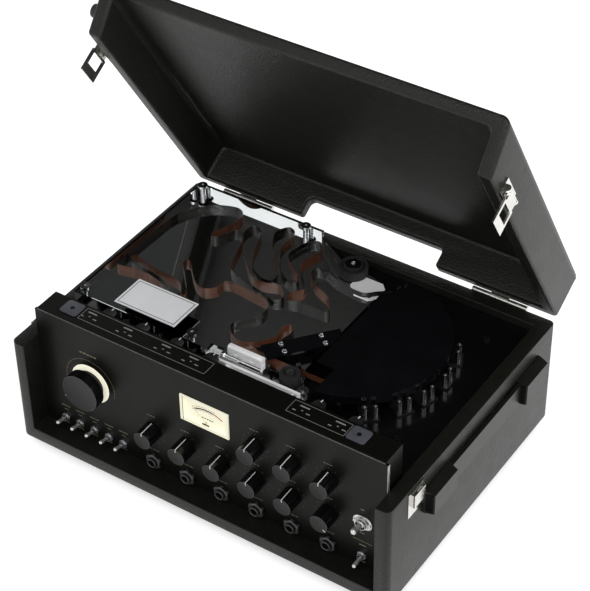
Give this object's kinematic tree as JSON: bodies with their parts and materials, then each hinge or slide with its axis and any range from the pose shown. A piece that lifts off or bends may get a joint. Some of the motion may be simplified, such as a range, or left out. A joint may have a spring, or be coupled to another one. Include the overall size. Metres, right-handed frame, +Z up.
{
  "type": "tape echo unit",
  "caption": "Portable tape echo in a covered case: hinged lid open over a tape deck with a loose loop in a mirror bin, and a front panel with knobs, a meter, jacks and switches.",
  "frame": {"origin": "on the table under the middle of the case", "axes": "+Z up, +Y from the control panel towards the hinges, +X to the right seen from the panel"},
  "size_m": [0.4395, 0.3471, 0.4367],
  "materials": {
    "vinyl": "pebbled black vinyl over board, satin",
    "rubber": "matt",
    "panel_paint": "satin charcoal paint",
    "deck_black": "semi-gloss black",
    "mirror_steel": "polished steel",
    "clear_acrylic": "clear, polished",
    "chrome": "polished",
    "steel": "satin",
    "tape_oxide": "brown oxide, black back",
    "notice_white": "bare white",
    "black_plastic": "satin",
    "gloss_black": "gloss",
    "dial_cream": "bare cream dial",
    "board_green": "circuit board and parts",
    "brass": "turned"
  },
  "bodies": {
    "case": {"case_shell": "vinyl", "case_feet": "rubber", "front_panel": "panel_paint", "control_head": "panel_paint", "deck_screws": "chrome", "deck_plate": "deck_black", "bin_tray": "mirror_steel", "bin_cover": "clear_acrylic", "deck_posts": "chrome", "notice_plate": "notice_white", "tape_loop": "tape_oxide", "head_cover": "gloss_black", "tape_heads": "steel", "solenoid": "chrome", "motor": "steel", "drive_belt": "rubber", "pressure_bar": "gloss_black", "main_board": "board_green", "input_jacks": "black_plastic", "meter": "dial_cream", "control_bodies": "steel", "rear_panel": "black_plastic", "case_fittings": "chrome", "handle_caps": "steel", "handle_strap": "black_plastic"},
    "lid": {"lid_shell": "vinyl", "lid_feet": "rubber", "lid_fittings": "chrome"},
    "guide_roller": {"guide_roller": "rubber"},
    "capstan": {"capstan": "steel"},
    "pinch_arm": {"pinch_arm": "steel"},
    "pinch_roller": {"pinch_roller": "rubber"},
    "plunger": {"plunger": "chrome"},
    "motor_pulley": {"motor_pulley": "brass"},
    "meter_needle": {"meter_needle": "black_plastic"},
    "latch_left": {"latch_left": "chrome"},
    "latch_right": {"latch_right": "chrome"},
    "mode_knob": {"mode_knob": "black_plastic"},
    "power_lever": {"power_lever": "chrome"},
    "speed_lever": {"speed_lever": "chrome"},
    "knob_1": {"knob_1": "black_plastic"},
    "knob_2": {"knob_2": "black_plastic"},
    "knob_3": {"knob_3": "black_plastic"},
    "knob_4": {"knob_4": "black_plastic"},
    "knob_5": {"knob_5": "black_plastic"},
    "knob_6": {"knob_6": "black_plastic"},
    "knob_7": {"knob_7": "black_plastic"},
    "knob_8": {"knob_8": "black_plastic"},
    "knob_9": {"knob_9": "black_plastic"},
    "trim_1": {"trim_1": "black_plastic"},
    "trim_2": {"trim_2": "black_plastic"},
    "trim_3": {"trim_3": "black_plastic"},
    "trim_4": {"trim_4": "black_plastic"},
    "trim_5": {"trim_5": "black_plastic"},
    "trim_6": {"trim_6": "black_plastic"},
    "toggle_1": {"toggle_1": "chrome"},
    "toggle_2": {"toggle_2": "chrome"},
    "toggle_3": {"toggle_3": "chrome"},
    "toggle_4": {"toggle_4": "chrome"},
    "toggle_5": {"toggle_5": "chrome"}
  },
  "joints": [
    {"name": "lid_hinge", "type": "hinge", "parent": "case", "child": "lid", "pos_m": [0, 0.1551, 0.1315], "axis": [1, 0, 0], "range_deg": [-45, 58.9]},
    {"name": "latch_left_swing", "type": "hinge", "parent": "lid", "child": "latch_left", "pos_m": [-0.2145, 0.02845, 0.36236], "axis": [0, 0.5165, -0.8563], "range_deg": [0, 100]},
    {"name": "latch_right_swing", "type": "hinge", "parent": "lid", "child": "latch_right", "pos_m": [0.2145, 0.02845, 0.36236], "axis": [0, -0.5165, 0.8563], "range_deg": [0, 100]},
    {"name": "mode_turn", "type": "hinge", "parent": "case", "child": "mode_knob", "pos_m": [-0.1345, -0.1475, 0.099], "axis": [0, -1, 0], "range_deg": [-150, 150]},
    {"name": "knob_1_turn", "type": "hinge", "parent": "case", "child": "knob_1", "pos_m": [-0.0629, -0.147, 0.0745], "axis": [0, -1, 0], "range_deg": [-150, 150]},
    {"name": "knob_2_turn", "type": "hinge", "parent": "case", "child": "knob_2", "pos_m": [-0.0235, -0.147, 0.0745], "axis": [0, -1, 0], "range_deg": [-150, 150]},
    {"name": "knob_3_turn", "type": "hinge", "parent": "case", "child": "knob_3", "pos_m": [0.0159, -0.147, 0.0745], "axis": [0, -1, 0], "range_deg": [-150, 150]},
    {"name": "knob_4_turn", "type": "hinge", "parent": "case", "child": "knob_4", "pos_m": [0.0553, -0.147, 0.0745], "axis": [0, -1, 0], "range_deg": [-150, 150]},
    {"name": "knob_5_turn", "type": "hinge", "parent": "case", "child": "knob_5", "pos_m": [0.0947, -0.147, 0.0745], "axis": [0, -1, 0], "range_deg": [-150, 150]},
    {"name": "knob_6_turn", "type": "hinge", "parent": "case", "child": "knob_6", "pos_m": [0.1341, -0.147, 0.0745], "axis": [0, -1, 0], "range_deg": [-280, 20]},
    {"name": "knob_7_turn", "type": "hinge", "parent": "case", "child": "knob_7", "pos_m": [0.0553, -0.147, 0.1165], "axis": [0, -1, 0], "range_deg": [-150, 150]},
    {"name": "knob_8_turn", "type": "hinge", "parent": "case", "child": "knob_8", "pos_m": [0.0947, -0.147, 0.1165], "axis": [0, -1, 0], "range_deg": [-150, 150]},
    {"name": "knob_9_turn", "type": "hinge", "parent": "case", "child": "knob_9", "pos_m": [0.1341, -0.147, 0.1165], "axis": [0, -1, 0], "range_deg": [-150, 150]},
    {"name": "trim_1_turn", "type": "hinge", "parent": "case", "child": "trim_1", "pos_m": [-0.1417, -0.0848, 0.152], "axis": [0, 0, 1], "range_deg": [-150, 150]},
    {"name": "trim_2_turn", "type": "hinge", "parent": "case", "child": "trim_2", "pos_m": [-0.1023, -0.0848, 0.152], "axis": [0, 0, 1], "range_deg": [-150, 150]},
    {"name": "trim_3_turn", "type": "hinge", "parent": "case", "child": "trim_3", "pos_m": [-0.0629, -0.0848, 0.152], "axis": [0, 0, 1], "range_deg": [-150, 150]},
    {"name": "trim_4_turn", "type": "hinge", "parent": "case", "child": "trim_4", "pos_m": [-0.0235, -0.0848, 0.152], "axis": [0, 0, 1], "range_deg": [-150, 150]},
    {"name": "trim_5_turn", "type": "hinge", "parent": "case", "child": "trim_5", "pos_m": [0.0947, -0.0848, 0.152], "axis": [0, 0, 1], "range_deg": [-150, 150]},
    {"name": "trim_6_turn", "type": "hinge", "parent": "case", "child": "trim_6", "pos_m": [0.1341, -0.0848, 0.152], "axis": [0, 0, 1], "range_deg": [-150, 150]},
    {"name": "toggle_1_flip", "type": "hinge", "parent": "case", "child": "toggle_1", "pos_m": [-0.1695, -0.1305, 0.0393], "axis": [1, 0, 0], "range_deg": [0, 24]},
    {"name": "toggle_2_flip", "type": "hinge", "parent": "case", "child": "toggle_2", "pos_m": [-0.152, -0.1305, 0.0393], "axis": [1, 0, 0], "range_deg": [0, 24]},
    {"name": "toggle_3_flip", "type": "hinge", "parent": "case", "child": "toggle_3", "pos_m": [-0.1345, -0.1305, 0.0393], "axis": [1, 0, 0], "range_deg": [0, 24]},
    {"name": "toggle_4_flip", "type": "hinge", "parent": "case", "child": "toggle_4", "pos_m": [-0.117, -0.1305, 0.0393], "axis": [1, 0, 0], "range_deg": [0, 24]},
    {"name": "toggle_5_flip", "type": "hinge", "parent": "case", "child": "toggle_5", "pos_m": [-0.0995, -0.1305, 0.0393], "axis": [1, 0, 0], "range_deg": [0, 24]},
    {"name": "power_flip", "type": "hinge", "parent": "case", "child": "power_lever", "pos_m": [0.17, -0.1305, 0.0825], "axis": [1, 0, 0], "range_deg": [0, 12]},
    {"name": "speed_flip", "type": "hinge", "parent": "case", "child": "speed_lever", "pos_m": [0.17, -0.1305, 0.041], "axis": [1, 0, 0], "range_deg": [-24, 0]},
    {"name": "needle_swing", "type": "hinge", "parent": "case", "child": "meter_needle", "pos_m": [0, -0.128, 0.11575], "axis": [0, 1, 0], "range_deg": [0, 96], "stiffness_Nm_per_rad": 0.00001, "springref_deg": -17.19},
    {"name": "guide_spin", "type": "hinge", "parent": "case", "child": "guide_roller", "pos_m": [0.012, 0.1045, 0.139], "axis": [0, 0, 1], "continuous": true},
    {"name": "capstan_spin", "type": "hinge", "parent": "case", "child": "capstan", "pos_m": [0.0466, -0.0448, 0.072], "axis": [0, 0, 1], "continuous": true},
    {"name": "motor_spin", "type": "hinge", "parent": "case", "child": "motor_pulley", "pos_m": [0.14, 0.0085, 0.072], "axis": [0, 0, 1], "continuous": true},
    {"name": "plunger_slide", "type": "slide", "parent": "case", "child": "plunger", "axis": [-1, 0, 0], "range_m": [0, 0.001]},
    {"name": "arm_swing", "type": "hinge", "parent": "case", "child": "pinch_arm", "pos_m": [0.064, -0.0642, 0.13], "axis": [0, 0, -1], "range_deg": [0, 4.8]},
    {"name": "pinch_spin", "type": "hinge", "parent": "pinch_arm", "child": "pinch_roller", "pos_m": [0.0466, -0.0592, 0.134], "axis": [0, 0, 1], "continuous": true}
  ],
  "couplings": [
    {"joint": "motor_spin", "follows": "capstan_spin", "ratio": 4.75},
    {"joint": "arm_swing", "follows": "plunger_slide", "rad_per_m": 83.333}
  ]
}
